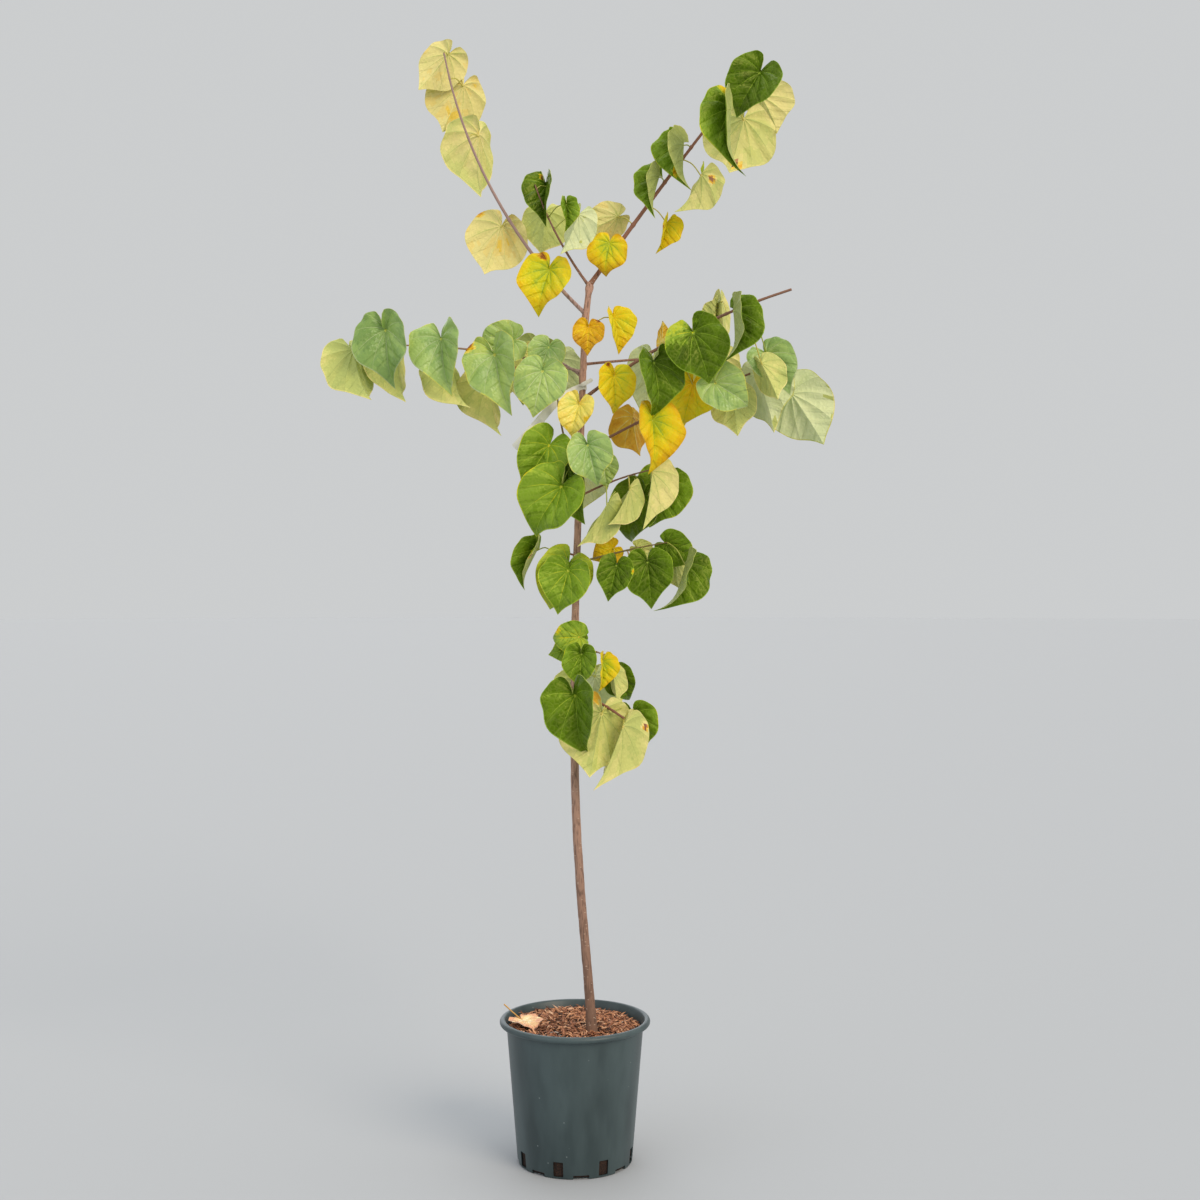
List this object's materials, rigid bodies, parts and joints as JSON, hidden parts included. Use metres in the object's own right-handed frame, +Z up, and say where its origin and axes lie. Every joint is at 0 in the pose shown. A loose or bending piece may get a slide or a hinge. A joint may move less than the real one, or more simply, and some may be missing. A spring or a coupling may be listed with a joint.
{
  "type": "potted sapling",
  "caption": "Young heart-leaved tree with one slim trunk and open side shoots, its leaves turning yellow, in a round tapered nursery pot filled with compost and bark mulch.",
  "frame": {"origin": "centre of the pot's flat underside, on the surface that the pot stands on", "axes": "+Z up the trunk, +X to the right and +Y to the back of the side that the picture shows"},
  "size_m": [0.9788, 0.5007, 2.1465],
  "materials": {
    "pot_plastic": "satin, dark blue-grey",
    "bark_mulch": "rough, shredded",
    "fallen_leaf": "dry, matt",
    "bark": "fine bark, matt",
    "label_plastic": "smooth, satin",
    "leaves": "soft sheen above, matt below"
  },
  "bodies": {
    "root": {"pot": "pot_plastic", "compost": "bark_mulch", "fallen_leaf": "fallen_leaf", "trunk": "bark", "plant_label": "label_plastic", "bough_top_left": "bark", "bough_top_middle": "bark", "bough_top_right": "bark", "bough_left": "bark", "bough_right_upper": "bark", "bough_right_lower": "bark", "bough_back_upper": "bark", "bough_back_left": "bark", "bough_back_middle": "bark", "bough_back_low": "bark", "foliage_top_left": "leaves", "foliage_top_middle": "leaves", "foliage_top_right": "leaves", "foliage_left": "leaves", "foliage_centre": "leaves", "foliage_right_upper": "leaves", "foliage_right_lower": "leaves", "foliage_middle_left": "leaves", "foliage_middle_right": "leaves", "foliage_lower_right": "leaves", "foliage_lower_left": "leaves", "foliage_low_upper": "leaves", "foliage_low": "leaves", "foliage_back_upper": "leaves", "foliage_back_left": "leaves", "foliage_back_middle": "leaves", "foliage_back_low": "leaves"}
  },
  "joints": []
}
